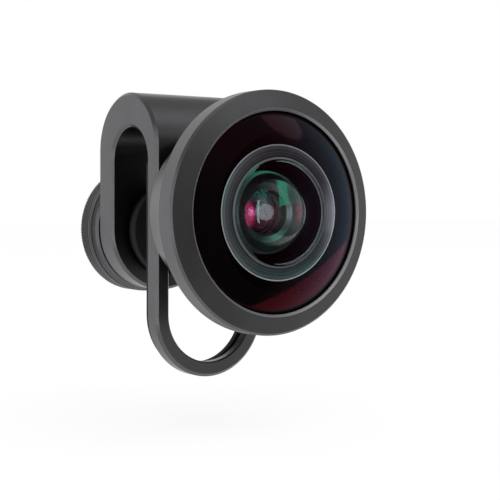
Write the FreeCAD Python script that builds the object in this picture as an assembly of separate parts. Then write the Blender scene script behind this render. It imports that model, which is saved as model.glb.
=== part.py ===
import FreeCAD, Part
import math
import os

# A clip-on wide-angle lens: an aluminium spring-less clip, a clamp screw with a knob behind it,
# and a screwed-in lens that slides up and down in the slot of the clip's front leg.
# All sizes are millimetres. The origin lies on the lens axis, in the face of the soft pad that
# rests on the clamped plate. +Z is up, the lens points along -Y and the clamp knob lies along +Y.

V = FreeCAD.Vector
TURN_AXIS = V(0, 1, 0)

# Clip frame, one piece of aluminium bent like a hairpin
clip_width = 22.4
front_leg = 3.2
rear_leg = 4.8
clip_gap = 12.0
crown_thickness = 6.1
crown_height = 21.0
front_end_drop = 17.6
rear_end_drop = 3.3
clip_chamfer = 0.5

# Soft pad on the inside of the front leg
pad_thickness = 1.0
pad_inset = 0.6
pad_arch_margin = 0.5
pad_slot_margin = 0.4

# Slot in the front leg, and the nut plate that slides in its rebate. The leg's width sets them all.
rebate_wall = 1.2
slot_clearance = 0.2
slot_top_z = 2.4
slot_chamfer = 0.25
nut_lip = 1.2
nut_flat = 3.4
nut_thickness = 1.5
nut_clearance = 0.2
rebate_run_out = 2.0
thread_clearance = 0.05

# Clamp screw, knob and pressure foot, on an axis through the rear leg's round end
screw_r = 2.5
press_clearance = 0.02
knob_r = 11.8
knob_length = 6.2
knob_standoff = 0.3
knob_chamfer = 0.7
knob_collar = 1.6
knob_groove_count = 3
knob_groove_pitch = 0.6
knob_groove_depth = 0.25
knob_groove_width = 0.3
knob_dish_r = 8.6
knob_dish_depth = 0.8
knob_floor = 1.4
foot_r = 8.5
foot_pad_thickness = 0.9
foot_plate_thickness = 1.1
foot_gap = 1.3
boss_r = 4.0
boss_length = 1.6
boss_clearance = 0.6
boss_well_depth = 1.8
ball_r = 1.35
ball_clearance = 0.05
ball_neck_r = 0.9
ball_depth = 0.95
stem_standoff = 0.3
foot_chamfer = 0.25

# Washer and outside of the lens barrel
washer_thickness = 0.5
washer_clearance = 0.15
shoulder_margin = 0.4
shoulder_length = 1.9
barrel_length = 12.3
barrel_rear_r = 14.1
rim_chamfer = 0.3
neck_wall = 0.8
neck_reach = 0.4
neck_chamfer = 0.3

# Front ring, screwed over the front of the barrel. Its radius sets the barrel's mouth and front glass.
ring_r = 20.0
ring_overhang = 2.5
ring_length = 3.6
ring_edge = 0.35
cone_height = 1.5
lip_cover = 0.7
lip_edge = 0.35
lip_height = 0.3
cap_wall = 1.6
cap_thread_clearance = 0.1
spigot_wall = 1.0
spigot_reach = 0.5

# Glass. The depth of a surface is the height of its bulge towards the front at its clear radius,
# so a hollow rear surface has a positive depth too. A rim is the flat outside the clear radius.
seat_clearance = 0.1
front_dome_depth = 6.5
front_dome_clearance = 0.2
front_hollow_depth = 4.5
front_hollow_rim = 2.7
front_hollow_bevel = 0.2
front_glass_edge = 1.15
seal_clearance = 0.04

second_glass_step = 3.0
second_clear_rim = 5.6
second_front_rim = 0.3
second_front_depth = 0.6
second_rear_rim = 0.7
second_rear_depth = 1.6
second_edge = 2.4
retainer_hollow_margin = 0.6
retainer_length = 3.4
retainer_ledge = 0.9

spacer_one_length = 1.2
third_edge = 2.4
third_rear_depth = 1.35
third_rim = 1.5
spacer_two_length = 1.2
fourth_edge = 1.2
fourth_front_depth = 2.0
fourth_rear_depth = -0.35
fourth_rim = 0.9
stop_r = 3.0
stop_length = 1.6
stop_web = 0.3
doublet_front_edge = 1.0
doublet_rear_edge = 1.6
doublet_front_depth = 0.35
doublet_join_depth = -1.3
doublet_rear_depth = -0.35
doublet_rim = 1.1
rear_spacer_length = 0.9
rear_edge = 1.1
rear_front_depth = 0.3
rear_rim = 1.3
rear_retainer_rim = 1.7

# Places along the lens axis that follow from the sizes above
front_inner_y = -pad_thickness
front_outer_y = front_inner_y - front_leg
rear_inner_y = front_inner_y + clip_gap
rear_outer_y = rear_inner_y + rear_leg
shoulder_y = front_outer_y - washer_thickness
barrel_rear_y = shoulder_y - shoulder_length
ring_back_y = barrel_rear_y - barrel_length
ring_edge_y = ring_back_y - ring_length
lip_y = ring_edge_y - cone_height
lip_back_y = lip_y + lip_edge + lip_height

# Heights and radii that follow from the clip's height and width
inner_arch_z = crown_height - crown_thickness - clip_gap / 2
pad_top_z = inner_arch_z - pad_arch_margin
leg_end_r = clip_width / 2
rebate_r = leg_end_r - rebate_wall
nut_r = rebate_r - nut_clearance
slot_r = nut_r - nut_lip
neck_r = slot_r - slot_clearance
shoulder_r = leg_end_r - shoulder_margin
rear_bore_r = neck_r - neck_wall
rear_group_r = rear_bore_r - seat_clearance
second_glass_r = rear_group_r + second_glass_step
glass_bore_r = second_glass_r + seat_clearance
front_hollow_r = second_glass_r - front_hollow_rim
second_clear_r = second_glass_r - second_clear_rim
third_rear_r = rear_group_r - third_rim
fourth_r = rear_group_r - fourth_rim
doublet_r = rear_group_r - doublet_rim
rear_r = rear_group_r - rear_rim
rear_retainer_r = rear_group_r - rear_retainer_rim

# Radii that follow from the front ring
barrel_front_r = ring_r - ring_overhang
cap_bore_r = ring_r - cap_wall
spigot_r = cap_bore_r - cap_thread_clearance
barrel_bore_r = spigot_r - spigot_wall
front_glass_r = barrel_bore_r - seat_clearance
lip_r = front_glass_r - lip_cover
cap_seat_y = lip_back_y + barrel_bore_r - lip_r


def sag(depth, edge_r, r):
    """Height that a round surface has lost at distance r, of the depth that it loses at edge_r."""
    if depth == 0:
        return 0.0
    radius = (edge_r ** 2 + depth ** 2) / (2 * abs(depth))
    return math.copysign(radius - math.sqrt(radius ** 2 - r ** 2), depth)


def line(start, end):
    """Straight edge between two (r, y) points of a turned outline."""
    return Part.makeLine(V(start[0], start[1], 0), V(end[0], end[1], 0))


def turned(points, centre_z=0.0):
    """Solid turned about the Y axis from a closed outline of (r, y) points."""
    corners = [V(r, y, 0) for r, y in points]
    outline = Part.makePolygon(corners + corners[:1])
    solid = Part.Face(outline).revolve(V(0, 0, 0), TURN_AXIS, 360)
    solid.translate(V(0, 0, centre_z))
    return solid


def surface_edge(rim_y, depth, r):
    """Outline edge of a lens surface from the axis out to its rim plane at distance r."""
    start = (0.0, rim_y - depth)
    end = (r, rim_y)
    if depth == 0:
        return line(start, end)
    middle = (r / 2, rim_y - depth + sag(depth, r, r / 2))
    arc = Part.Arc(V(*start, 0), V(*middle, 0), V(*end, 0))
    return arc.toShape()


def element(edge_r, front_y, rear_y, front, rear):
    """Glass element between two rim planes; front and rear are (depth, clear radius)."""
    front_depth, front_r = front
    rear_depth, rear_clear_r = rear
    edges = [surface_edge(front_y, front_depth, front_r)]
    if front_r < edge_r:
        edges.append(line((front_r, front_y), (edge_r, front_y)))
    edges.append(line((edge_r, front_y), (edge_r, rear_y)))
    if rear_clear_r < edge_r:
        edges.append(line((edge_r, rear_y), (rear_clear_r, rear_y)))
    edges.append(surface_edge(rear_y, rear_depth, rear_clear_r))
    edges.append(line((0.0, rear_y - rear_depth), (0.0, front_y - front_depth)))
    wire = Part.Wire(Part.__sortEdges__(edges))
    return Part.Face(wire).revolve(V(0, 0, 0), TURN_AXIS, 360)


def stadium(r, top_z, bottom_z, y_from, y_to):
    """Upright slot shape, round at both ends, from one Y to another."""
    top = Part.Arc(V(-r, y_from, top_z), V(0, y_from, top_z + r), V(r, y_from, top_z))
    bottom = Part.Arc(V(r, y_from, bottom_z), V(0, y_from, bottom_z - r), V(-r, y_from, bottom_z))
    right = Part.makeLine(V(r, y_from, top_z), V(r, y_from, bottom_z))
    left = Part.makeLine(V(-r, y_from, bottom_z), V(-r, y_from, top_z))
    outline = Part.Wire([top.toShape(), right, bottom.toShape(), left])
    return Part.Face(outline).extrude(V(0, y_to - y_from, 0))


def hairpin(y_front, y_rear, base_z, arch_z):
    """Prism across the clip with a round top, between two Y planes."""
    half = clip_width / 2
    arch_r = (y_rear - y_front) / 2
    middle_y = (y_rear + y_front) / 2
    crown = V(-half, middle_y, arch_z + arch_r)
    arch = Part.Arc(V(-half, y_front, arch_z), crown, V(-half, y_rear, arch_z))
    outline = Part.Wire([
        Part.makeLine(V(-half, y_front, base_z), V(-half, y_front, arch_z)),
        arch.toShape(),
        Part.makeLine(V(-half, y_rear, arch_z), V(-half, y_rear, base_z)),
        Part.makeLine(V(-half, y_rear, base_z), V(-half, y_front, base_z)),
    ])
    return Part.Face(outline).extrude(V(clip_width, 0, 0))


def leg_corners(y_from, y_to, centre_z):
    """Material outside a leg's round end, to be cut away below centre_z."""
    depth = crown_height + front_end_drop + leg_end_r
    block = Part.makeBox(clip_width, y_to - y_from, depth, V(-leg_end_r, y_from, centre_z - depth))
    keep = Part.makeCylinder(leg_end_r, y_to - y_from, V(0, y_from, centre_z), TURN_AXIS)
    return block.cut(keep)


def is_outline_edge(edge):
    """True for the long rims of the clip, false for its smooth seams along X or Y."""
    if not isinstance(edge.Curve, Part.Line):
        return True
    direction = edge.tangentAt(edge.FirstParameter)
    return abs(direction.z) > 0.5


def clip_frame():
    """Hairpin with round leg ends, a slot for the lens neck and a tapped hole for the clamp screw."""
    outer_arch_z = crown_height - (rear_outer_y - front_outer_y) / 2
    base_z = -front_end_drop - leg_end_r
    body = hairpin(front_outer_y, rear_outer_y, base_z, outer_arch_z)
    body = body.cut(hairpin(front_inner_y, rear_inner_y, base_z, inner_arch_z))
    middle_y = (front_inner_y + rear_inner_y) / 2
    body = body.cut(leg_corners(front_outer_y, middle_y, -front_end_drop))
    body = body.cut(leg_corners(middle_y, rear_outer_y, -rear_end_drop))
    body = body.removeSplitter()
    body = body.makeChamfer(clip_chamfer, [edge for edge in body.Edges if is_outline_edge(edge)])

    slot = stadium(slot_r, slot_top_z, -front_end_drop, front_outer_y, front_inner_y)
    body = body.cut(slot)
    mouth = [edge for edge in body.Edges if is_slot_mouth(edge)]
    body = body.makeChamfer(slot_chamfer, mouth)
    rebate_floor_y = front_inner_y - nut_thickness - nut_clearance
    rebate_back_y = front_inner_y + rebate_run_out
    body = body.cut(stadium(rebate_r, slot_top_z, -front_end_drop, rebate_floor_y, rebate_back_y))

    tapped_r = screw_r + thread_clearance
    hole = Part.makeCylinder(tapped_r, rear_leg, V(0, rear_inner_y, -rear_end_drop), TURN_AXIS)
    well_r = boss_r + boss_clearance
    well = Part.makeCylinder(well_r, boss_well_depth, V(0, rear_inner_y, -rear_end_drop), TURN_AXIS)
    return body.cut(hole).cut(well)


def is_slot_mouth(edge):
    """True for the rim of the slot in the front face of the clip."""
    box = edge.BoundBox
    in_face = abs(box.YMin - front_outer_y) < 1e-4 and abs(box.YMax - front_outer_y) < 1e-4
    inside = max(abs(box.XMin), abs(box.XMax)) < slot_r + 1e-4
    return in_face and inside


def front_pad():
    """Soft pad that follows the front leg and leaves the slot open; it also keeps the nut in."""
    outline_r = leg_end_r - pad_inset
    opening_r = slot_r + pad_slot_margin
    blank = stadium(outline_r, pad_top_z, -front_end_drop, front_inner_y, 0.0)
    above = Part.makeBox(clip_width, pad_thickness, clip_width, V(-leg_end_r, front_inner_y, pad_top_z))
    opening = stadium(opening_r, pad_top_z, -front_end_drop, front_inner_y, 0.0)
    return blank.cut(above).cut(opening)


def slot_nut():
    """Plate with the lens thread, kept from turning by its straight sides."""
    rear_y = front_inner_y - nut_clearance / 2
    front_y = rear_y - nut_thickness
    plate = stadium(nut_r, nut_flat / 2, -nut_flat / 2, front_y, rear_y)
    bore = Part.makeCylinder(neck_r + thread_clearance, nut_thickness, V(0, front_y, 0), TURN_AXIS)
    return plate.cut(bore)


def plain_ring(outer_r, inner_r, front_y, rear_y):
    """Ring with straight walls."""
    return turned([(inner_r, front_y), (outer_r, front_y), (outer_r, rear_y), (inner_r, rear_y)])


def cone_ring(outer_r, front_r, rear_inner_r, front_y, rear_y):
    """Ring with a conical hole, wider at the front when front_r is the larger."""
    return turned([(front_r, front_y), (outer_r, front_y), (outer_r, rear_y), (rear_inner_r, rear_y)])


def shoulder_washer():
    """Thin washer between the lens shoulder and the face of the clip."""
    return plain_ring(shoulder_r, neck_r + washer_clearance, shoulder_y, front_outer_y)


def foot_face_y():
    """Face of the pressure foot that meets the clamped plate, at rest."""
    return rear_inner_y - foot_gap - foot_plate_thickness - foot_pad_thickness


def foot_pad():
    """Rubber disc glued to the pressure foot."""
    face_y = foot_face_y()
    return turned([
        (0.0, face_y),
        (foot_r - foot_chamfer, face_y),
        (foot_r, face_y + foot_chamfer),
        (foot_r, face_y + foot_pad_thickness),
        (0.0, face_y + foot_pad_thickness),
    ], -rear_end_drop)


def ball_centre_y():
    """Centre of the ball joint between the clamp screw and its foot."""
    return foot_face_y() + foot_pad_thickness + foot_plate_thickness + boss_length - ball_depth


def foot_plate():
    """Disc with a boss that is swaged round the ball of the clamp screw."""
    front_y = foot_face_y() + foot_pad_thickness
    back_y = front_y + foot_plate_thickness
    disc = turned([
        (0.0, front_y),
        (foot_r, front_y),
        (foot_r, back_y - foot_chamfer),
        (foot_r - foot_chamfer, back_y),
        (boss_r, back_y),
        (boss_r, back_y + boss_length),
        (0.0, back_y + boss_length),
    ], -rear_end_drop)
    socket = Part.makeSphere(ball_r + ball_clearance, V(0, ball_centre_y(), -rear_end_drop))
    return disc.cut(socket)


def knob_front_y():
    """Face of the knob that looks at the rear leg, at rest."""
    return rear_outer_y + knob_standoff


def clamp_screw():
    """Threaded stem with a ball at its tip, pressed into the knob."""
    stem_y = ball_centre_y() + ball_depth + stem_standoff
    end_y = knob_front_y() + knob_length - knob_dish_depth - knob_floor
    neck_y = ball_centre_y() + math.sqrt(ball_r ** 2 - ball_neck_r ** 2)
    tip_y = ball_centre_y() - ball_r
    ball = Part.Arc(V(0, tip_y, 0), V(ball_r, ball_centre_y(), 0), V(ball_neck_r, neck_y, 0))
    bevel = screw_r - ball_neck_r
    outline = [
        (ball_neck_r, neck_y),
        (ball_neck_r, stem_y),
        (screw_r, stem_y + bevel),
        (screw_r, end_y),
        (0.0, end_y),
        (0.0, tip_y),
    ]
    edges = [ball.toShape()] + [line(a, b) for a, b in zip(outline, outline[1:])]
    stem = Part.Face(Part.Wire(edges)).revolve(V(0, 0, 0), TURN_AXIS, 360)
    stem.translate(V(0, 0, -rear_end_drop))
    return stem


def clamp_knob():
    """Round knob with turned grooves between its smooth collar and its grip band, and a dished back."""
    front_y = knob_front_y()
    back_y = front_y + knob_length
    bore_r = screw_r + press_clearance
    bore_y = back_y - knob_dish_depth - knob_floor
    grooves = []
    for number in range(knob_groove_count):
        groove_y = front_y + knob_collar + number * knob_groove_pitch
        grooves += [
            (knob_r, groove_y),
            (knob_r - knob_groove_depth, groove_y + knob_groove_width / 2),
            (knob_r, groove_y + knob_groove_width),
        ]
    return turned([
        (bore_r, front_y),
        (knob_r - knob_chamfer, front_y),
        (knob_r, front_y + knob_chamfer),
        *grooves,
        (knob_r, back_y - knob_chamfer),
        (knob_r - knob_chamfer, back_y),
        (knob_dish_r + knob_dish_depth, back_y),
        (knob_dish_r, back_y - knob_dish_depth),
        (0.0, back_y - knob_dish_depth),
        (0.0, bore_y),
        (bore_r, bore_y),
    ], -rear_end_drop)


# Planes of the glass stack, from the front element back to the neck
front_rim_y = (lip_back_y + front_dome_clearance
               + front_dome_depth - sag(front_dome_depth, front_glass_r, lip_r))
front_seat_y = front_rim_y + front_glass_edge
spigot_front_y = front_seat_y - spigot_reach
second_front_y = front_seat_y + retainer_length
second_rear_y = second_front_y + second_edge
step_y = second_rear_y + spacer_one_length
third_front_y = step_y + seat_clearance
third_rear_y = third_front_y + third_edge
fourth_front_y = third_rear_y + spacer_two_length
fourth_rear_y = fourth_front_y + fourth_edge
doublet_front_y = fourth_rear_y + stop_length
doublet_join_y = doublet_front_y + doublet_front_edge
doublet_rear_y = doublet_join_y + doublet_rear_edge
rear_front_y = doublet_rear_y + rear_spacer_length
rear_rear_y = rear_front_y + rear_edge
neck_end_y = -neck_reach


def lens_barrel():
    """Turned barrel: spigot for the front ring, tapered body, clamping shoulder and threaded neck."""
    return turned([
        (spigot_r, spigot_front_y),
        (spigot_r, ring_back_y - rim_chamfer),
        (barrel_front_r, ring_back_y),
        (barrel_rear_r, barrel_rear_y - rim_chamfer),
        (barrel_rear_r - rim_chamfer, barrel_rear_y),
        (shoulder_r, barrel_rear_y),
        (shoulder_r, shoulder_y),
        (neck_r, shoulder_y),
        (neck_r, neck_end_y - neck_chamfer),
        (neck_r - neck_chamfer, neck_end_y),
        (rear_bore_r, neck_end_y),
        (rear_bore_r, step_y),
        (glass_bore_r, step_y),
        (glass_bore_r, front_seat_y),
        (barrel_bore_r, front_seat_y),
        (barrel_bore_r, spigot_front_y),
    ])


def front_ring():
    """Wide ring with a conical face; its lip holds the front element in the barrel."""
    return turned([
        (cap_bore_r, ring_back_y),
        (ring_r - ring_edge, ring_back_y),
        (ring_r, ring_back_y - ring_edge),
        (ring_r, ring_edge_y + ring_edge / 2),
        (ring_r - ring_edge, ring_edge_y - ring_edge / 2),
        (lip_r + lip_edge, lip_y),
        (lip_r, lip_y + lip_edge),
        (lip_r, lip_back_y),
        (barrel_bore_r, cap_seat_y),
        (cap_bore_r, cap_seat_y),
    ])


def front_element():
    """Domed front element with a deep, narrow hollow behind, bevelled round its rim."""
    glass = element(front_glass_r, front_rim_y, front_seat_y,
                    (front_dome_depth, front_glass_r), (front_hollow_depth, front_hollow_r))
    hollow_rim = [edge for edge in glass.Edges if is_hollow_rim(edge)]
    return glass.makeChamfer(front_hollow_bevel, hollow_rim)


def is_hollow_rim(edge):
    """True for the round edge between the front element's hollow and its flat back."""
    box = edge.BoundBox
    flat = box.YMax - box.YMin < 1e-4
    return flat and abs(box.ZMax - front_hollow_r) < 1e-4 and abs(box.YMax - front_seat_y) < 1e-4


def front_seal():
    """Rubber ring between the front ring and the front element."""
    groove_r = (barrel_bore_r + cap_bore_r) / 2
    groove_y = (cap_seat_y + spigot_front_y) / 2
    wire_r = (spigot_front_y - cap_seat_y) / 2 - seal_clearance
    return Part.makeTorus(groove_r, wire_r, V(0, groove_y, 0), TURN_AXIS)


def second_retainer():
    """Threaded ring that holds the second element, with a stepped funnel towards the light."""
    mouth_r = front_hollow_r - retainer_hollow_margin
    ledge_r = (mouth_r + second_clear_r) / 2
    return turned([
        (mouth_r, front_seat_y),
        (second_glass_r, front_seat_y),
        (second_glass_r, second_front_y),
        (second_clear_r, second_front_y),
        (ledge_r, second_front_y - retainer_ledge),
    ])


def second_element():
    """Hollow-backed second element."""
    return element(second_glass_r, second_front_y, second_rear_y,
                   (second_front_depth, second_clear_r - second_front_rim),
                   (second_rear_depth, second_clear_r + second_rear_rim))


def spacer_one():
    """Spacer behind the second element."""
    return cone_ring(second_glass_r, second_clear_r + second_rear_rim + seat_clearance,
                     third_rear_r + seat_clearance, second_rear_y, step_y)


def third_element():
    """Flat-fronted element with a hollow back."""
    return element(rear_group_r, third_front_y, third_rear_y,
                   (0, rear_group_r), (third_rear_depth, third_rear_r))


def spacer_two():
    """Spacer between the third and fourth elements."""
    return cone_ring(rear_group_r, third_rear_r + seat_clearance, fourth_r + seat_clearance,
                     third_rear_y, fourth_front_y)


def fourth_element():
    """Positive element in front of the stop."""
    return element(rear_group_r, fourth_front_y, fourth_rear_y,
                   (fourth_front_depth, fourth_r), (fourth_rear_depth, fourth_r))


def aperture_stop():
    """Blackened stop: a thin web with a round hole, on a rim that spaces the doublet."""
    web_y = fourth_rear_y + stop_length / 2 + stop_web / 2
    return turned([
        (fourth_r + seat_clearance, fourth_rear_y),
        (rear_group_r, fourth_rear_y),
        (rear_group_r, doublet_front_y),
        (fourth_r + seat_clearance, doublet_front_y),
        (fourth_r + seat_clearance, web_y),
        (stop_r, web_y),
        (stop_r, web_y - stop_web / 2),
        (fourth_r + seat_clearance, web_y - stop_web),
    ])


def doublet_front():
    """Front half of the cemented pair."""
    return element(rear_group_r, doublet_front_y, doublet_join_y,
                   (doublet_front_depth, doublet_r), (doublet_join_depth, doublet_r))


def doublet_rear():
    """Rear half of the cemented pair."""
    return element(rear_group_r, doublet_join_y, doublet_rear_y,
                   (doublet_join_depth, doublet_r), (doublet_rear_depth, doublet_r))


def rear_spacer():
    """Spacer between the pair and the rear element."""
    return plain_ring(rear_group_r, doublet_r + seat_clearance, doublet_rear_y, rear_front_y)


def rear_element():
    """Rear element, flat towards the clamped plate."""
    return element(rear_group_r, rear_front_y, rear_rear_y,
                   (rear_front_depth, rear_r), (0, rear_group_r))


def rear_retainer():
    """Threaded ring in the neck that holds the rear group."""
    return cone_ring(rear_group_r, rear_retainer_r, rear_r + seat_clearance, rear_rear_y, neck_end_y)


PIECES = [
    clip_frame, front_pad, slot_nut, shoulder_washer,
    foot_pad, foot_plate, clamp_screw, clamp_knob,
    lens_barrel, front_ring, front_seal, front_element,
    second_retainer, second_element, spacer_one, third_element,
    spacer_two, fourth_element, aperture_stop, doublet_front,
    doublet_rear, rear_spacer, rear_element, rear_retainer,
]

os.makedirs("parts", exist_ok=True)
for piece in PIECES:
    solid = piece()
    solid.exportStep(os.path.join("parts", piece.__name__ + ".step"))
    box = solid.BoundBox
    print(piece.__name__, "valid", solid.isValid(), "solids", len(solid.Solids),
          "volume", round(solid.Volume, 2),
          "y", round(box.YMin, 2), round(box.YMax, 2), "z", round(box.ZMin, 2), round(box.ZMax, 2))

planes = (lip_y, front_rim_y, front_seat_y, second_front_y, second_rear_y, step_y, third_front_y,
          third_rear_y, fourth_front_y, fourth_rear_y, doublet_front_y, doublet_join_y,
          doublet_rear_y, rear_front_y, rear_rear_y, neck_end_y)
print("planes", [round(y, 2) for y in planes])
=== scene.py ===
import math

import bmesh
import bpy
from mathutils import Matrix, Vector


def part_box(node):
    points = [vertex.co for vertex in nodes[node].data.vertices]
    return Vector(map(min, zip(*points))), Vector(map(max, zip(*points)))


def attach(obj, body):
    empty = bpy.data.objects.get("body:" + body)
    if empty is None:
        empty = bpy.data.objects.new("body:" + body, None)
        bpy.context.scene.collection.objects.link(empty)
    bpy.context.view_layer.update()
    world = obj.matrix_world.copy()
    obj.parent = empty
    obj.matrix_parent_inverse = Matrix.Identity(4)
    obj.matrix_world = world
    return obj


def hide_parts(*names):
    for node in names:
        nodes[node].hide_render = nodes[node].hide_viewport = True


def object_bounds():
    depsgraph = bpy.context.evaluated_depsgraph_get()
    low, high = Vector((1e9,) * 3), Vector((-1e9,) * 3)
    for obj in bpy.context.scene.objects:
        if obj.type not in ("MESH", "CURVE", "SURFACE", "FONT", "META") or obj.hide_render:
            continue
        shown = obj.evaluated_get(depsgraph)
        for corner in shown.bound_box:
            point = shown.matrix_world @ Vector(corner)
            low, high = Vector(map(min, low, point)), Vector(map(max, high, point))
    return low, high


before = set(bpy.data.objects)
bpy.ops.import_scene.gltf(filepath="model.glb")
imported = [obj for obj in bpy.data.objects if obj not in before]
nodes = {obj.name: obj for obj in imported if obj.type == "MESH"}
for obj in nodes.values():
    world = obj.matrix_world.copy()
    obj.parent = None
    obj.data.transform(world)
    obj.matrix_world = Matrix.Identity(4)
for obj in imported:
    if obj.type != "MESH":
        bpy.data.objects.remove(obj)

MM = 0.001
cad_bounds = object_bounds()
scene = bpy.context.scene


def mm_box(node):
    """Lowest and highest corner of a CAD node at rest, in millimetres."""
    return [[value / MM for value in corner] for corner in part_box(node)]


# Glass sizes in millimetres
DOME_VERTEX_Y = mm_box("front_element")[0][1]
BACK_GAP = 0.02
SEAT_Y = mm_box("front_element")[1][1] - BACK_GAP
GLASS_R = mm_box("front_element")[1][2]
DOME_DEPTH = 6.5
DOME_RADIUS = (GLASS_R ** 2 + DOME_DEPTH ** 2) / (2 * DOME_DEPTH)
DOME_SKIN = 0.05
HOLLOW_R = 7.8
HOLLOW_DEPTH = 4.5
HOLLOW_BEVEL = 0.2
BEVEL_STOP_SHARE = 0.6
HOLLOW_MARGIN = 0.06
BAND_R = 10.0
# Where the painted highlight line at the band's outer edge begins
HIGHLIGHT_LINE_R = 9.86
BLACK_FROM_R = 13.0
SECOND_FRONT_DEPTH = 0.6
SECOND_FRONT_R = 4.6
SECOND_REAR_DEPTH = 1.6
SECOND_REAR_R = 5.6
SECOND_MIDDLE = 0.4
THIRD_MIDDLE_Y = -13.8
FOURTH_MIDDLE_Y = -10.0
PAIR_MIDDLE_Y = -6.5
REAR_CLEAR_R = 7.4

# Front ring: the lip round the glass, in millimetres
LIP_MIDDLE_R = 16.87
LIP_BACK_R = 17.35
LIP_WALL_Y = -22.7
LIP_EDGE_Y = -23.62

# Clamp knob and screw, in millimetres
KNOB_CHAMFER = 0.7
KNOB_COLLAR = 1.6
KNOB_GROOVES = 3
KNOB_FACE_DEPTH = 3.0
KNOB_SHAFT_R = 2.52
KNOB_DISH_R = 8.6
KNOB_DISH_DEPTH = 0.8
GROOVE_PITCH = 0.6
GROOVE_DEPTH = 0.25
GROOVE_WIDTH = 0.3
GRIP_MARGIN = 0.08
GRIP_DEPTH = 0.24
GRIP_COUNT = 150
GRIP_SINK = 0.02
GRIP_STEPS = 4
BALL_R = 1.35
BALL_NECK_R = 0.9
THREAD_START = 2.6
THREAD_DEPTH = 0.42
THREAD_PITCH = 0.8
THREAD_SINK = 0.03
THREAD_FOOT = 0.45
THREAD_CREST = 0.08

# Fineness of the turned meshes
LATHE_STEPS = 256
DOME_STEPS = 64
HOLLOW_STEPS = 48
SECOND_STEPS = 32
SCREW_STEPS = 96
THREAD_STEPS = 48
BALL_STEPS = 24
SHARP_DEGREES = 28.0
ON_AXIS = 1e-6

# Glass: refractive index, the colour that each surface sends back, and the painted zones
DOME_IOR = 1.6
INNER_IOR = 1.6
DOME_SHEEN = (0.66, 0.08, 0.17)
DOME_SHEEN_DEEP = (0.54, 0.05, 0.10)
HOLLOW_SHEEN = (0.80, 0.90, 0.85)
SECOND_FRONT_SHEEN = (0.75, 0.45, 0.55)
SECOND_REAR_SHEEN = (0.9, 0.15, 0.40)
GROUND_GLASS = (0.42, 0.44, 0.45)
PAINT_BLACK = (0.004, 0.004, 0.005)
PAINT_ROUGHNESS = 0.5
LAMP_SHARE = 0.94
DOME_CLOUD_SCALE = 45.0
GLASS_CLOUD_SCALE = 90.0
CLOUD_LOW, CLOUD_HIGH = 0.3, 0.7
DEEP_SHARE = 0.8

# Turned band round the hollow: colours from its inner edge to its outer one. The near-white last
# stops are a painted highlight line along its outer edge.
BAND_SLOPE = -0.35
BAND_METALLIC = 0.92
BAND_ROUGHNESS = 0.42
BAND_COLOURS_AND_HIGHLIGHT = [
    (0.00, (0.45, 0.46, 0.47)), (0.09, (0.40, 0.42, 0.43)), (0.10, (0.05, 0.04, 0.05)),
    (0.26, (0.09, 0.08, 0.09)), (0.28, (0.21, 0.20, 0.22)), (0.30, (0.09, 0.08, 0.09)),
    (0.44, (0.10, 0.10, 0.11)), (0.46, (0.24, 0.22, 0.25)), (0.50, (0.12, 0.11, 0.13)),
    (0.68, (0.17, 0.15, 0.18)), (0.70, (0.26, 0.25, 0.28)), (0.90, (0.23, 0.21, 0.24)),
    (0.92, (0.80, 0.84, 0.90)), (1.00, (0.95, 0.97, 1.00)),
]

# Metal: scales of its patterns per metre, and how far they change colour, gloss and height
METAL_TONE = (0.98, 0.99, 1.02)
FUNNEL_TONE = (0.8, 0.97, 1.0)
TURNED_LINES = 5200.0
INNER_LINES = 9000.0
GRAIN_SCALE = 9000.0
METAL_CLOUD_SCALE = 130.0
METAL_SHARE_LOW, METAL_SHARE_HIGH = 0.93, 1.08
METAL_GLOSS_SPREAD = 0.10
TURNED_SHARE, GRAIN_SHARE = 0.8, 0.2
METAL_BUMP, METAL_BUMP_HEIGHT = 0.35, 0.00002
# Front ring: a painted highlight on the front of the lip, the wall inside the lip painted lighter
# and pinkish as if lit, and how far both drop from metal to matt
EDGE_PAINTED_HIGHLIGHT = (0.55, 0.56, 0.58)
WALL_PAINTED_LIGHT = (0.26, 0.22, 0.25)
PAINTED_LIGHT_MATT = 0.6

# Rubber and plastic: the same
RUBBER_GRAIN_SCALE = 5000.0
RUBBER_CLOUD_SCALE = 260.0
RUBBER_LOW, RUBBER_HIGH = 0.35, 0.65
RUBBER_SHARE_LOW, RUBBER_SHARE_HIGH = 0.8, 1.25
RUBBER_GLOSS_SPREAD = 0.16
RUBBER_ROUGHNESS = 0.62
RUBBER_SPECULAR = 0.35
RUBBER_BUMP, RUBBER_BUMP_HEIGHT = 0.5, 0.00003


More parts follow.
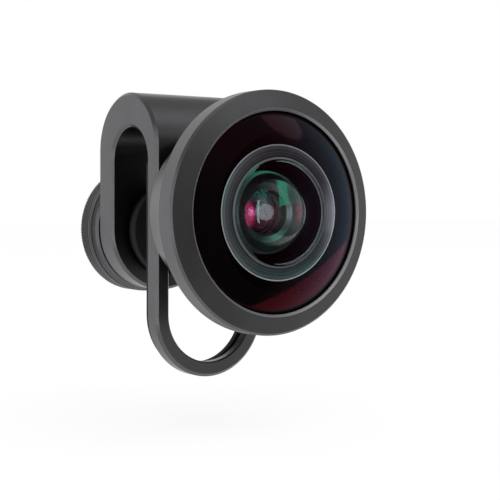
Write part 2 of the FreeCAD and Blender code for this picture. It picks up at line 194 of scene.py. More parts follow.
class Graph:
    """Small helper round a node tree. Sockets go by name, or as i0, i1 and so on by number."""

    def __init__(self, tree):
        self.tree = tree
        tree.nodes.clear()

    def add(self, kind, settings=None, **sockets):
        node = self.tree.nodes.new(kind)
        for key, value in (settings or {}).items():
            setattr(node, key, value)
        for key, value in sockets.items():
            numbered = key[0] == "i" and key[1:].isdigit()
            self.put(node.inputs[int(key[1:]) if numbered else key], value)
        return node

    def put(self, socket, value):
        if isinstance(value, bpy.types.NodeSocket):
            self.tree.links.new(value, socket)
        else:
            socket.default_value = value

    def math(self, operation, a, b=0.0):
        return self.add("ShaderNodeMath", {"operation": operation}, i0=a, i1=b).outputs[0]

    def multiply_add(self, value, factor, addend):
        return self.add("ShaderNodeMath", {"operation": "MULTIPLY_ADD"}, i0=value, i1=factor,
                        i2=addend).outputs[0]

    def distance(self, a, b):
        """Length of the diagonal over two sides."""
        squares = [self.math("POWER", side, 2.0) for side in (a, b)]
        return self.math("SQRT", self.math("ADD", *squares))

    def ramp(self, factor, stops):
        node = self.add("ShaderNodeValToRGB", i0=factor)
        elements = node.color_ramp.elements
        while len(elements) < len(stops):
            elements.new(0.5)
        for element, (place, colour) in zip(elements, stops):
            element.position = place
            element.color = (*colour, 1)
        return node.outputs[0]

    def noise(self, vector, scale, detail=3.0, roughness=0.5):
        return self.add("ShaderNodeTexNoise", Vector=vector, Scale=scale, Detail=detail,
                        Roughness=roughness).outputs["Fac"]

    def bump(self, height, strength, distance):
        return self.add("ShaderNodeBump", Strength=strength, Distance=distance,
                        Height=height).outputs[0]


def material(name):
    made = bpy.data.materials.new(name)
    made.use_nodes = True
    graph = Graph(made.node_tree)
    shader = graph.add("ShaderNodeBsdfPrincipled")
    output = graph.add("ShaderNodeOutputMaterial")
    graph.put(output.inputs["Surface"], shader.outputs[0])
    return made, graph, shader


def grey(value):
    return (value, value, value)


def shaded(share, colour):
    return tuple(share * part for part in colour)


def turned_coordinates(graph):
    """Distance from the lens axis and place along it, so that a pattern of them runs round."""
    place = graph.add("ShaderNodeTexCoord").outputs["Object"]
    split = graph.add("ShaderNodeSeparateXYZ", i0=place)
    across = graph.distance(split.outputs[0], split.outputs[2])
    ring = graph.add("ShaderNodeCombineXYZ", i0=across, i1=split.outputs[1]).outputs[0]
    return ring, place


def anodised_parts(name, base, roughness, turned, lines=TURNED_LINES, tone=METAL_TONE):
    """Black anodised aluminium: blasted, or with fine turned lines round its axis."""
    made, graph, shader = material(name)
    ring, place = turned_coordinates(graph)
    grain = graph.noise(place, GRAIN_SCALE, detail=2.0)
    cloud = graph.noise(place, METAL_CLOUD_SCALE, detail=4.0)
    graph.put(shader.inputs["Base Color"], graph.ramp(cloud, [
        (CLOUD_LOW, shaded(base * METAL_SHARE_LOW, tone)),
        (CLOUD_HIGH, shaded(base * METAL_SHARE_HIGH, tone))]))
    shader.inputs["Metallic"].default_value = 1.0
    graph.put(shader.inputs["Roughness"], graph.multiply_add(
        cloud, METAL_GLOSS_SPREAD, roughness - METAL_GLOSS_SPREAD / 2))
    height = grain
    if turned:
        tool_marks = graph.noise(ring, lines, detail=2.0, roughness=0.7)
        height = graph.math("ADD", graph.math("MULTIPLY", tool_marks, TURNED_SHARE),
                            graph.math("MULTIPLY", grain, GRAIN_SHARE))
    graph.put(shader.inputs["Normal"], graph.bump(height, METAL_BUMP, METAL_BUMP_HEIGHT))
    return made, graph, shader


def anodised(name, base, roughness, turned=True, lines=TURNED_LINES, tone=METAL_TONE):
    """The material alone, for a piece that needs nothing more."""
    return anodised_parts(name, base, roughness, turned, lines, tone)[0]


def ring_finish():
    """Turned finish of the front ring. The wall inside the lip is painted lighter and pinkish as
    if lit, and the front of the lip carries a painted highlight.
    """
    made, graph, shader = anodised_parts("ring_turned", base=0.13, roughness=0.38, turned=True)
    split = graph.add("ShaderNodeSeparateXYZ", i0=turned_coordinates(graph)[0])
    across, along = split.outputs[0], split.outputs[1]
    behind_edge = graph.math("GREATER_THAN", along, LIP_EDGE_Y * MM)
    before_wall_end = graph.math("LESS_THAN", along, LIP_WALL_Y * MM)
    wall = graph.math("MULTIPLY", graph.math("LESS_THAN", across, LIP_BACK_R * MM),
                      graph.math("MULTIPLY", behind_edge, before_wall_end))
    edge = graph.math("MULTIPLY", graph.math("LESS_THAN", across, LIP_MIDDLE_R * MM),
                      graph.math("LESS_THAN", along, LIP_EDGE_Y * MM))
    colour = shader.inputs["Base Color"].links[0].from_socket
    # Painted light: the wall inside the lip is painted lighter and pinkish as if lit, and the
    # front of the lip carries a painted highlight; both are made partly matt.
    colour = mix_colour(graph, wall, colour, WALL_PAINTED_LIGHT)
    graph.put(shader.inputs["Base Color"], mix_colour(graph, edge, colour, EDGE_PAINTED_HIGHLIGHT))
    painted_light = graph.math("MAXIMUM", wall, edge)
    graph.put(shader.inputs["Metallic"], graph.multiply_add(painted_light, -PAINTED_LIGHT_MATT, 1.0))
    return made


def rubber(name, base):
    """Matt black rubber or nylon with a fine grain."""
    made, graph, shader = material(name)
    place = graph.add("ShaderNodeTexCoord").outputs["Object"]
    grain = graph.noise(place, RUBBER_GRAIN_SCALE, detail=4.0, roughness=0.7)
    cloud = graph.noise(place, RUBBER_CLOUD_SCALE, detail=3.0)
    graph.put(shader.inputs["Base Color"], graph.ramp(cloud, [
        (RUBBER_LOW, grey(base * RUBBER_SHARE_LOW)),
        (RUBBER_HIGH, grey(base * RUBBER_SHARE_HIGH))]))
    graph.put(shader.inputs["Roughness"],
              graph.multiply_add(grain, RUBBER_GLOSS_SPREAD, RUBBER_ROUGHNESS))
    shader.inputs["Specular IOR Level"].default_value = RUBBER_SPECULAR
    graph.put(shader.inputs["Normal"], graph.bump(grain, RUBBER_BUMP, RUBBER_BUMP_HEIGHT))
    return made


def smooth_rise(graph, value, low, high, top=1.0):
    """Rises softly from nothing at low to top at high."""
    node = graph.add("ShaderNodeMapRange", {"interpolation_type": "SMOOTHSTEP"}, Value=value)
    node.inputs["From Min"].default_value = low
    node.inputs["From Max"].default_value = high
    node.inputs["To Max"].default_value = top
    return node.outputs[0]


def step(graph, value, edge):
    return graph.math("GREATER_THAN", value, edge)


def mix_colour(graph, factor, a, b):
    node = graph.add("ShaderNodeMix", {"data_type": "RGBA"}, i0=factor)
    for index, colour in ((6, a), (7, b)):
        linked = isinstance(colour, bpy.types.NodeSocket)
        graph.put(node.inputs[index], colour if linked else (*colour, 1))
    return node.outputs[2]


def clear_to_lamps(graph, shader, opaque):
    """Lets lamplight through the clear part of a glass, so that what lies behind it is lit."""
    path = graph.add("ShaderNodeLightPath")
    lit = graph.math("MAXIMUM", path.outputs["Is Shadow Ray"], path.outputs["Is Diffuse Ray"])
    clear = graph.math("MULTIPLY", lit, graph.math("SUBTRACT", 1.0, opaque))
    graph.put(shader.inputs["Alpha"], graph.multiply_add(clear, -LAMP_SHARE, 1.0))


def coated_glass(name, front_tint, rear_tint, middle_y, clear_r):
    """Glass with a tinted reflection on each side of middle_y and a black rim past clear_r."""
    made, graph, shader = material(name)
    ring, place = turned_coordinates(graph)
    split = graph.add("ShaderNodeSeparateXYZ", i0=ring)
    behind = step(graph, split.outputs[1], middle_y * MM)
    opaque = step(graph, split.outputs[0], clear_r * MM)
    cloud = graph.noise(place, GLASS_CLOUD_SCALE, detail=2.0)
    front = graph.ramp(cloud, [(CLOUD_LOW, shaded(DEEP_SHARE, front_tint)),
                               (CLOUD_HIGH, front_tint)])
    graph.put(shader.inputs["Specular Tint"], mix_colour(graph, behind, front, rear_tint))
    graph.put(shader.inputs["Base Color"], mix_colour(graph, opaque, grey(1.0), PAINT_BLACK))
    graph.put(shader.inputs["Transmission Weight"], graph.math("SUBTRACT", 1.0, opaque))
    graph.put(shader.inputs["Roughness"], graph.math("MULTIPLY", opaque, PAINT_ROUGHNESS))
    shader.inputs["IOR"].default_value = INNER_IOR
    shader.inputs["Specular IOR Level"].default_value = 0.0
    clear_to_lamps(graph, shader, opaque)
    return made


def dome_glass():
    """Front glass: red sheen outside, a pale one in the hollow, and a turned band round it with a
    painted highlight line on its outer edge.

    Black paint lies behind the glass outside the band. The zones are told apart by their
    distance from the lens axis, and front from back by their distance from the dome's centre.
    """
    made, graph, shader = material("dome_glass")
    ring, place = turned_coordinates(graph)
    split = graph.add("ShaderNodeSeparateXYZ", i0=ring)
    across, along = split.outputs[0], split.outputs[1]
    from_centre = graph.math("SUBTRACT", along, (DOME_VERTEX_Y + DOME_RADIUS) * MM)
    distance = graph.distance(across, from_centre)
    behind = graph.math("LESS_THAN", distance, (DOME_RADIUS - DOME_SKIN) * MM)
    bevel_r = HOLLOW_R + HOLLOW_BEVEL
    ground = graph.math("MULTIPLY", behind,
                        step(graph, across, (HOLLOW_R - HOLLOW_MARGIN) * MM))
    band = graph.math("MULTIPLY", behind, step(graph, across, bevel_r * MM))
    painted = graph.math("MULTIPLY", behind, step(graph, across, BAND_R * MM))
    outer = step(graph, across, BLACK_FROM_R * MM)
    over_paint = graph.math("MULTIPLY", outer, graph.math("SUBTRACT", 1.0, behind))
    solid = graph.math("MAXIMUM", ground, over_paint)

    cloud = graph.noise(place, DOME_CLOUD_SCALE, detail=2.0)
    sheen = graph.ramp(cloud, [(CLOUD_LOW, DOME_SHEEN_DEEP), (CLOUD_HIGH, DOME_SHEEN)])
    tint = mix_colour(graph, behind, sheen, HOLLOW_SHEEN)
    tint = mix_colour(graph, ground, tint, grey(1.0))
    graph.put(shader.inputs["Specular Tint"], mix_colour(graph, painted, tint, grey(0.0)))

    place_in_band = graph.add("ShaderNodeMapRange", Value=across)
    place_in_band.inputs["From Min"].default_value = HOLLOW_R * MM
    place_in_band.inputs["From Max"].default_value = BAND_R * MM
    band_colour_and_highlight = graph.ramp(place_in_band.outputs[0], BAND_COLOURS_AND_HIGHLIGHT)
    colour = mix_colour(graph, ground, grey(1.0), GROUND_GLASS)
    colour = mix_colour(graph, band, colour, band_colour_and_highlight)
    black = graph.math("MAXIMUM", painted, over_paint)
    graph.put(shader.inputs["Base Color"], mix_colour(graph, black, colour, PAINT_BLACK))
    graph.put(shader.inputs["Transmission Weight"], graph.math("SUBTRACT", 1.0, solid))
    graph.put(shader.inputs["Roughness"], graph.math("MULTIPLY", ground, BAND_ROUGHNESS))

    bare_band = graph.math("SUBTRACT", band, painted)
    # Painted highlight: the outermost ring of the band is left matt and near-white.
    highlight_line = graph.math("MULTIPLY", bare_band, step(graph, across, HIGHLIGHT_LINE_R * MM))
    metal_band = graph.math("SUBTRACT", bare_band, highlight_line)
    graph.put(shader.inputs["Metallic"], graph.math(
        "ADD", painted, graph.math("MULTIPLY", metal_band, BAND_METALLIC)))

    beyond = graph.math("MAXIMUM", graph.math("SUBTRACT", across, bevel_r * MM), 0.0)
    fall = graph.math("MULTIPLY", graph.math("MULTIPLY", beyond, -BAND_SLOPE), behind)
    graph.put(shader.inputs["Normal"], graph.bump(fall, 1.0, 1.0))
    shader.inputs["IOR"].default_value = DOME_IOR
    clear_to_lamps(graph, shader, solid)
    return made


def paint(obj, made):
    for slot in obj.material_slots:
        slot.material = made
    if not obj.material_slots:
        obj.data.materials.append(made)


black_clip = anodised("clip_anodised", base=0.12, roughness=0.34, turned=False)
black_turned = anodised("turned_anodised", base=0.12, roughness=0.36)
black_inner = anodised("inner_black", base=0.02, roughness=0.45, lines=INNER_LINES)
funnel_black = anodised("funnel_black", base=0.10, roughness=0.35, lines=INNER_LINES,
                        tone=FUNNEL_TONE)
plate_metal = anodised("plate_black", base=0.06, roughness=0.4)
steel = anodised("screw_steel", base=0.5, roughness=0.25)
ring_turned = ring_finish()
third_glass = coated_glass("third_glass", front_tint=(0.9, 0.12, 0.35),
                           rear_tint=(0.2, 0.3, 0.8), middle_y=THIRD_MIDDLE_Y,
                           clear_r=REAR_CLEAR_R)
fourth_glass = coated_glass("fourth_glass", front_tint=(0.6, 0.7, 0.5),
                            rear_tint=(0.5, 0.4, 0.7), middle_y=FOURTH_MIDDLE_Y,
                            clear_r=REAR_CLEAR_R)
pair_glass = coated_glass("pair_glass", front_tint=(0.5, 0.5, 0.8),
                          rear_tint=(0.8, 0.6, 0.4), middle_y=PAIR_MIDDLE_Y,
                          clear_r=REAR_CLEAR_R)
pad_rubber = rubber("pad_rubber", base=0.018)
washer_black = rubber("washer_plastic", base=0.03)

CAD_FINISH = {
    "clip_frame": black_clip, "front_pad": pad_rubber, "slot_nut": plate_metal,
    "shoulder_washer": washer_black, "foot_pad": pad_rubber, "foot_plate": plate_metal,
    "clamp_screw": steel, "clamp_knob": black_turned, "lens_barrel": black_turned,
    "front_ring": ring_turned, "front_seal": pad_rubber, "front_element": black_inner,
    "second_retainer": funnel_black, "second_element": black_inner, "spacer_one": black_inner,
    "third_element": third_glass, "spacer_two": black_inner, "fourth_element": fourth_glass,
    "aperture_stop": black_inner, "doublet_front": pair_glass, "doublet_rear": pair_glass,
    "rear_spacer": black_inner, "rear_element": pair_glass, "rear_retainer": black_inner,
}
for name, finish in CAD_FINISH.items():
    paint(nodes[name], finish)


# Pieces made finer than the solids

def on_circle(r, y, angle, centre_z):
    """Point in metres, from a radius and a place along the axis in millimetres."""
    return (r * math.cos(angle) * MM, y * MM, (r * math.sin(angle) + centre_z) * MM)


def lathe(name, outline, centre_z=0.0, steps=LATHE_STEPS):
    """Mesh turned round the lens axis from a closed outline of (r, y) points in millimetres."""
    points, rings = [], []
    for r, y in outline:
        count = steps if r > ON_AXIS else 1
        rings.append([len(points) + index for index in range(count)])
        for index in range(count):
            points.append(on_circle(r, y, 2 * math.pi * index / count, centre_z))
    faces = []
    for ring, following in zip(rings, rings[1:] + rings[:1]):
        for index in range(steps):
            corners = [ring[index % len(ring)], ring[(index + 1) % len(ring)],
                       following[(index + 1) % len(following)], following[index % len(following)]]
            corners = list(dict.fromkeys(corners))
            if len(corners) > 2:
                faces.append(corners)
    return solid_mesh(name, points, faces)


def solid_mesh(name, points, faces):
    """Object with its normals outward and only its real edges sharp."""
    mesh = bpy.data.meshes.new(name)
    mesh.from_pydata(points, [], faces)
    shape = bmesh.new()
    shape.from_mesh(mesh)
    bmesh.ops.recalc_face_normals(shape, faces=shape.faces)
    shape.to_mesh(mesh)
    shape.free()
    mesh.shade_smooth()
    mesh.set_sharp_from_angle(angle=math.radians(SHARP_DEGREES))
    made = bpy.data.objects.new(name, mesh)
    scene.collection.objects.link(made)
    return made


def bulge(rim_y, depth, rim_r, steps):
    """Outline of a round surface from the axis to its rim; depth is its height at the axis."""
    radius = (rim_r ** 2 + depth ** 2) / (2 * abs(depth))
    side = math.copysign(1.0, depth)
    points = []
    for index in range(steps + 1):
        r = rim_r * index / steps
        points.append((r, rim_y - depth + side * (radius - math.sqrt(radius ** 2 - r ** 2))))
    return points


def dress(piece, body, slot_name, finish, *replaced):
    """Paints a piece and lets it ride on a body in place of the solids. slot_name is not used."""
    paint(piece, finish)
    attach(piece, body)
    if replaced:
        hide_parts(*replaced)


def make_front_glass():
    rim_y = DOME_VERTEX_Y + DOME_DEPTH
    dome = bulge(rim_y, DOME_DEPTH, GLASS_R, DOME_STEPS)
    hollow = bulge(SEAT_Y, HOLLOW_DEPTH, HOLLOW_R, HOLLOW_STEPS)
    hollow = [(r, y) for r, y in hollow if r < HOLLOW_R - HOLLOW_BEVEL * BEVEL_STOP_SHARE]
    outline = dome + [(GLASS_R, SEAT_Y), (HOLLOW_R + HOLLOW_BEVEL, SEAT_Y)] + hollow[::-1]
    dress(lathe("front_glass", outline), "lens", "coated_glass", dome_glass(), "front_element")


def make_second_glass():
    low, high = mm_box("second_element")
    front_y, rear_y = low[1] + SECOND_FRONT_DEPTH, high[1]
    edge_r = high[2]
    front = bulge(front_y, SECOND_FRONT_DEPTH, SECOND_FRONT_R, SECOND_STEPS)
    rear = bulge(rear_y, SECOND_REAR_DEPTH, SECOND_REAR_R, SECOND_STEPS)
    outline = front + [(edge_r, front_y), (edge_r, rear_y)] + rear[::-1]
    glass = coated_glass("second_glass", SECOND_FRONT_SHEEN, SECOND_REAR_SHEEN,
                         front_y + SECOND_MIDDLE, SECOND_REAR_R)
    dress(lathe("second_glass", outline), "lens", "coated_glass", glass, "second_element")


def make_knob():
    """The clamp knob, with its diamond grip as real relief before and behind the grooves."""
    low, high = mm_box("clamp_knob")
    front_y, back_y = low[1], high[1]
    centre_z = (low[2] + high[2]) / 2
    knob_r = (high[2] - low[2]) / 2
    root_r = knob_r - GRIP_DEPTH
    chamfer_root = KNOB_CHAMFER - GRIP_DEPTH
    collar_end = front_y + KNOB_COLLAR - GRIP_MARGIN
    outline = [(0.0, front_y + KNOB_FACE_DEPTH), (KNOB_SHAFT_R, front_y + KNOB_FACE_DEPTH),
               (KNOB_SHAFT_R, front_y), (knob_r - KNOB_CHAMFER, front_y),
               (root_r, front_y + chamfer_root), (root_r, collar_end), (knob_r, collar_end)]
    for number in range(KNOB_GROOVES):
        groove_y = front_y + KNOB_COLLAR + number * GROOVE_PITCH
        outline += [(knob_r, groove_y), (knob_r - GROOVE_DEPTH, groove_y + GROOVE_WIDTH / 2),
                    (knob_r, groove_y + GROOVE_WIDTH)]
    grip_from = outline[-1][1] + GRIP_MARGIN
    outline += [(knob_r, grip_from), (root_r, grip_from), (root_r, back_y - chamfer_root),
                (knob_r - KNOB_CHAMFER, back_y), (KNOB_DISH_R + KNOB_DISH_DEPTH, back_y),
                (KNOB_DISH_R, back_y - KNOB_DISH_DEPTH), (0.0, back_y - KNOB_DISH_DEPTH)]
    knob = lathe("knob_turned", outline, centre_z)
    dress(knob, "knob", "anodised_metal", black_turned, "clamp_knob")
    make_grip("collar_grip", root_r, front_y + chamfer_root, collar_end, centre_z)
    make_grip("knob_grip", root_r, grip_from, back_y - chamfer_root, centre_z)


def band_faces(rows, columns):
    """Faces between rows of points that close round the axis."""
    faces = []
    for row in range(rows):
        here, there = row * columns, (row + 1) * columns
        for column in range(columns):
            following = (column + 1) % columns
            faces.append((here + column, here + following, there + following, there + column))
    return faces


def make_grip(name, root_r, y_from, y_to, centre_z):
    """Sleeve of small pyramids, cut by two sets of crossing grooves."""
    stride = 2 * math.pi * root_r / GRIP_COUNT / GRIP_STEPS
    rows = round((y_to - y_from) / stride)
    columns = GRIP_COUNT * GRIP_STEPS
    points = []
    for row in range(rows + 1):
        y = y_from + (y_to - y_from) * row / rows
        for column in range(columns):
            up, down = (column + row) / GRIP_STEPS, (column - row) / GRIP_STEPS
            rise = min(abs(up - round(up)), abs(down - round(down))) * 2
            r = root_r - GRIP_SINK if row in (0, rows) else root_r + GRIP_DEPTH * rise
            points.append(on_circle(r, y, 2 * math.pi * column / columns, centre_z))
    grip = solid_mesh(name, points, band_faces(rows, columns))
    grip.data.shade_flat()
    dress(grip, "knob", "anodised_metal", black_clip)


def make_clamp_screw():
    """Clamp screw with its thread cut as a helix from the neck of the ball to the knob."""
    low, high = mm_box("clamp_screw")
    centre_z = (low[2] + high[2]) / 2
    stem_r = (high[2] - low[2]) / 2
    ball_y = low[1] + BALL_R
    neck_y = ball_y + math.sqrt(BALL_R ** 2 - BALL_NECK_R ** 2)
    angles = [math.pi * index / BALL_STEPS for index in range(BALL_STEPS)]
    ball = [(BALL_R * math.sin(angle), ball_y - BALL_R * math.cos(angle)) for angle in angles]
    ball = [(r, y) for r, y in ball if y < neck_y]
    thread_from = ball_y + THREAD_START
    core_r = stem_r - THREAD_DEPTH
    outline = ball + [(BALL_NECK_R, neck_y), (BALL_NECK_R, thread_from - (core_r - BALL_NECK_R)),
                      (core_r, thread_from), (core_r, high[1]), (0.0, high[1])]
    stem = lathe("screw_stem", outline, centre_z, SCREW_STEPS)
    dress(stem, "knob", "screw_steel", steel, "clamp_screw")
    thread = make_thread("screw_thread", core_r, stem_r, thread_from, high[1] - THREAD_PITCH,
                         centre_z)
    dress(thread, "knob", "screw_steel", steel)


def make_thread(name, core_r, crest_r, y_from, y_to, centre_z):
    """Helical ridge that rises from the core and fades out at both ends."""
    turns = (y_to - y_from) / THREAD_PITCH
    count = int(turns * THREAD_STEPS)
    fade_steps = THREAD_STEPS / 2
    section = [(-THREAD_FOOT, -THREAD_SINK), (-THREAD_CREST, 1.0), (THREAD_CREST, 1.0),
               (THREAD_FOOT, -THREAD_SINK)]
    points = []
    for index in range(count + 1):
        angle = 2 * math.pi * index / THREAD_STEPS
        fade = min(1.0, index / fade_steps, (count - index) / fade_steps)
        y = y_from + THREAD_PITCH * index / THREAD_STEPS
        for offset, height in section:
            r = core_r + (crest_r - core_r) * (height * fade if height > 0 else height)
            points.append(on_circle(r, y + offset * THREAD_PITCH, angle, centre_z))
    size = len(section)
    faces = band_faces(count, size)
    faces.append(tuple(range(size)))
    faces.append(tuple(count * size + side for side in reversed(range(size))))
    return solid_mesh(name, points, faces)


make_front_glass()
make_second_glass()
make_knob()
make_clamp_screw()


# Stage, light and camera. A glow is a direction, where it starts and is full, and its strength.

ROOM_DARK = 0.03
SHEET = ((-0.34, 0.77, -0.54), -0.01, 0.07, 1.0)
BACK_GLOW = ((0.0, 1.0, 0.0), -0.8, 0.1, 0.14)
RIGHT_GLOW = ((0.98, -0.18, 0.0), 0.62, 1.0, 0.22)
TOP_GLOW = ((0.0, 0.0, 1.0), 0.2, 0.8, 0.40)
FRONT_GLOW = ((0.60, -0.80, 0.0), 0.3, 0.95, 0.42)

# What polished glass mirrors from outside
TABLE_EDGE = 0.72
TABLE_BLUR = 0.015
TABLE = ((0.535, 0.3695, -0.76), TABLE_EDGE - TABLE_BLUR, TABLE_EDGE + TABLE_BLUR, 1.0)
TABLE_NEAR_X, TABLE_FAR_X = 0.5, 0.95
TABLE_NEAR = (0.62, 0.13, 0.17)
TABLE_FAR = (0.56, 0.29, 0.44)
DUSK = ((0.98, -0.18, 0.0), 0.3, 1.0, 1.0)
CEILING = ((0.0, 0.0, 1.0), 0.2, 0.8, 1.0)
ROOM_BLACK = (0.03, 0.03, 0.035)
ROOM_ABOVE = (0.12, 0.10, 0.11)
ROOM_DUSK = (0.14, 0.22, 0.30)
LAMP_SPOT = ((0.60, -0.20, 0.77), 0.965, 0.975, 1.0)
LAMP_SPOT_COLOUR = (0.3, 0.3, 0.3)

# What the surfaces inside the lens mirror
INNER_DARK_X, INNER_LIGHT_X = -0.5, 0.3
INNER_PATCHES = (
    (((-0.93, 0.05, -0.05), 0.80, 0.92, 1.0), (7.0, 0.5, 1.8)),
    (((-0.62, -0.785, 0.03), 0.92, 0.95, 1.0), (2.6, 3.0, 3.2)),
)
WINDOW_LEFT = ((0.989, -0.058, -0.110), 0.0, 0.04, 1.0)
WINDOW_LOW = ((-0.21, 0.24, 0.95), 0.0, 0.04, 1.0)
WINDOW_NEAR_X, WINDOW_FAR_X = 0.40, 0.55
WINDOW_NEAR = (0.10, 2.4, 1.5)
WINDOW_FAR = (0.05, 0.40, 0.34)

# World, floor, lamps and camera. The floor's half width and the lamp target are in metres,
# the floor's gap and the lens's travel in millimetres.
AMBIENT = 0.45
PASSED_GLASS = 0.5
FLOOR_HALF = 1.5
FLOOR_GAP = 0.3
LENS_TRAVEL = 16.0
FLOOR_GLOW = 0.84
FLOOR_GREY = 0.32
FLOOR_ROUGHNESS = 0.9
LAMP_TARGET = (0.0, 0.0, -0.004)
VIEW = Vector((0.5878, 0.8090, 0.0))
CAMERA_PLACE = Vector((-117.8, -177.9, 2.05)) * MM
LENS_MM = 86.4
SENSOR_MM = 36.0
SHIFT_DOWN = -0.1
CLIP_NEAR, CLIP_FAR = 0.01, 20.0


def aim(obj, place, direction):
    """Puts a camera or lamp in its place and turns it to look in a direction."""
    obj.location = place
    obj.rotation_mode = "QUATERNION"
    obj.rotation_quaternion = direction.to_track_quat("-Z", "Y")
    scene.collection.objects.link(obj)


def make_camera():
    data = bpy.data.cameras.new("camera")
    data.lens = LENS_MM
    data.sensor_width = SENSOR_MM
    data.sensor_fit = "HORIZONTAL"
    data.shift_y = SHIFT_DOWN
    data.clip_start = CLIP_NEAR
    data.clip_end = CLIP_FAR
    camera = bpy.data.objects.new("camera", data)
    aim(camera, CAMERA_PLACE, VIEW)
    scene.camera = camera


def outer_mirror(graph):
    """One for a ray that polished glass mirrors from outside, nothing for all others."""
    path = graph.add("ShaderNodeLightPath")
    outside = graph.math("LESS_THAN", path.outputs["Transmission Depth"], PASSED_GLASS)
    return graph.math("MULTIPLY", path.outputs["Is Singular Ray"], outside)


def glow_in(graph, direction, glow):
    """Strength of a glow in each direction of the room."""
    towards, low, high, top = glow
    node = graph.add("ShaderNodeVectorMath", {"operation": "DOT_PRODUCT"}, i0=direction)
    node.inputs[1].default_value = towards
    return smooth_rise(graph, node.outputs["Value"], low, high, top)


def add_colour(graph, a, b):
    node = graph.add("ShaderNodeMix", {"data_type": "RGBA", "blend_type": "ADD"},
                     i0=1.0, i6=a, i7=b)
    return node.outputs[2]


def add_patch(graph, direction, colour, glow, patch_colour):
    """Adds a soft-edged patch of light to what a room shows."""
    amount = glow_in(graph, direction, glow)
    return add_colour(graph, colour, mix_colour(graph, amount, grey(0.0), patch_colour))


def room(graph, direction):
    """Brightness that metal mirrors: a white sheet behind and below, and dim glows round it."""
    sheet = glow_in(graph, direction, SHEET)
    back, right, top, front = (glow_in(graph, direction, glow)
                               for glow in (BACK_GLOW, RIGHT_GLOW, TOP_GLOW, FRONT_GLOW))
    widest = graph.math("MAXIMUM", graph.math("MAXIMUM", back, front), top)
    glow = graph.math("ADD", widest, right)
    return graph.math("ADD", graph.math("MAXIMUM", sheet, glow), ROOM_DARK)


def sharp_room(graph, direction):
    """What polished glass mirrors: a table below with a crisp edge, and a bluish dusk."""
    side = graph.add("ShaderNodeSeparateXYZ", i0=direction).outputs[0]
    nearness = smooth_rise(graph, side, TABLE_NEAR_X, TABLE_FAR_X)
    bright = mix_colour(graph, nearness, TABLE_NEAR, TABLE_FAR)
    above = glow_in(graph, direction, CEILING)
    colour = mix_colour(graph, above, ROOM_BLACK, ROOM_ABOVE)
    colour = mix_colour(graph, glow_in(graph, direction, DUSK), colour, ROOM_DUSK)
    colour = add_patch(graph, direction, colour, LAMP_SPOT, LAMP_SPOT_COLOUR)
    return mix_colour(graph, glow_in(graph, direction, TABLE), colour, bright)


def inner_room(graph, direction):
    """What surfaces inside the lens mirror: dark on the left, two patches and a window."""
    side = graph.add("ShaderNodeSeparateXYZ", i0=direction).outputs[0]
    dim = graph.math("MULTIPLY", room(graph, direction),
                     smooth_rise(graph, side, INNER_DARK_X, INNER_LIGHT_X))
    total = mix_colour(graph, dim, grey(0.0), grey(1.0))
    for glow, colour in INNER_PATCHES:
        total = add_patch(graph, direction, total, glow, colour)
    window = graph.math("MULTIPLY", glow_in(graph, direction, WINDOW_LEFT),
                        glow_in(graph, direction, WINDOW_LOW))
    shade = mix_colour(graph, smooth_rise(graph, side, WINDOW_NEAR_X, WINDOW_FAR_X),
                       WINDOW_NEAR, WINDOW_FAR)
    return add_colour(graph, total, mix_colour(graph, window, grey(0.0), shade))


def background(graph, colour=(1.0, 1.0, 1.0, 1.0), strength=1.0):
    node = graph.add("ShaderNodeBackground", Color=colour, Strength=strength)
    return node.outputs[0]


def either(graph, factor, first, second):
    """The first shader where the factor is nothing, the second where it is one."""
    return graph.add("ShaderNodeMixShader", i0=factor, i1=first, i2=second).outputs[0]


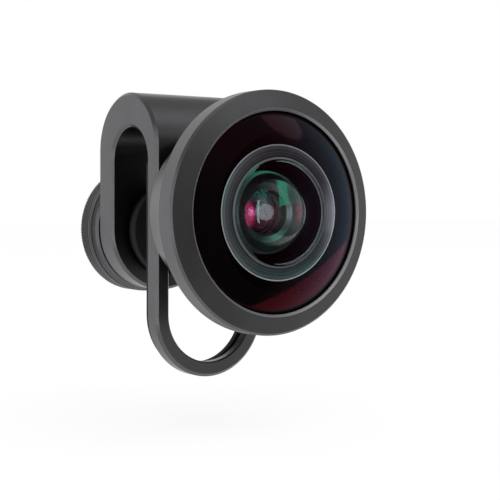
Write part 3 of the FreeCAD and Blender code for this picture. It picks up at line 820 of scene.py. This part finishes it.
def make_world():
    """White to the eye. Metal, polished glass and the inside of the lens each see a room."""
    world = bpy.data.worlds.new("studio")
    world.use_nodes = True
    scene.world = world
    graph = Graph(world.node_tree)
    path = graph.add("ShaderNodeLightPath")
    direction = graph.add("ShaderNodeTexCoord").outputs["Generated"]
    mirrored = graph.math("MAXIMUM", path.outputs["Is Glossy Ray"],
                          path.outputs["Is Transmission Ray"])
    inside = graph.math("GREATER_THAN", path.outputs["Transmission Depth"], PASSED_GLASS)
    seen_rough = either(graph, inside, background(graph, strength=room(graph, direction)),
                        background(graph, inner_room(graph, direction)))
    seen_in_mirror = either(graph, outer_mirror(graph), seen_rough,
                            background(graph, sharp_room(graph, direction)))
    unseen = background(graph, strength=AMBIENT)
    light = either(graph, mirrored, unseen, seen_in_mirror)
    output = graph.add("ShaderNodeOutputWorld")
    graph.put(output.inputs["Surface"],
              either(graph, path.outputs["Is Camera Ray"], light, background(graph)))


def make_floor():
    """Pale floor under the lowest place that the lens slides to. Mirrors look past it."""
    top = min(cad_bounds[0][2] / MM, mm_box("front_ring")[0][2] - LENS_TRAVEL)
    top = (top - FLOOR_GAP) * MM
    mesh = bpy.data.meshes.new("floor")
    corners = [(-FLOOR_HALF, -FLOOR_HALF, top), (FLOOR_HALF, -FLOOR_HALF, top),
               (FLOOR_HALF, FLOOR_HALF, top), (-FLOOR_HALF, FLOOR_HALF, top)]
    mesh.from_pydata(corners, [], [(0, 1, 2, 3)])
    floor = bpy.data.objects.new("floor", mesh)
    scene.collection.objects.link(floor)
    made, graph, shader = material("floor_white")
    path = graph.add("ShaderNodeLightPath")
    shader.inputs["Base Color"].default_value = (*grey(FLOOR_GREY), 1)
    shader.inputs["Roughness"].default_value = FLOOR_ROUGHNESS
    shader.inputs["Specular IOR Level"].default_value = 0.0
    shader.inputs["Emission Color"].default_value = (*grey(1.0), 1)
    graph.put(shader.inputs["Emission Strength"],
              graph.math("MULTIPLY", path.outputs["Is Camera Ray"], FLOOR_GLOW))
    paint(floor, made)
    floor.visible_glossy = False
    floor.visible_transmission = False


def make_lamp(name, place, size, power, unseen_by=None):
    """Soft rectangular lamp that looks at the part, and lights all but one object if named."""
    data = bpy.data.lights.new(name, "AREA")
    data.shape = "RECTANGLE"
    data.size, data.size_y = size
    data.energy = power
    lamp = bpy.data.objects.new(name, data)
    aim(lamp, place, Vector(LAMP_TARGET) - Vector(place))
    if unseen_by:
        others = bpy.data.collections.new(name + "_receivers")
        others.objects.link(unseen_by)
        others.collection_objects[0].light_linking.link_state = "EXCLUDE"
        lamp.light_linking.receiver_collection = others


make_camera()
make_world()
make_floor()
make_lamp("top_soft", place=(0.15, -0.42, 0.85), size=(0.95, 0.55), power=1.0,
          unseen_by=bpy.data.objects["front_glass"])
make_lamp("left_strip", place=(-0.86, -0.52, 0.05), size=(0.12, 1.0), power=1.6)

scene.view_settings.view_transform = "Standard"
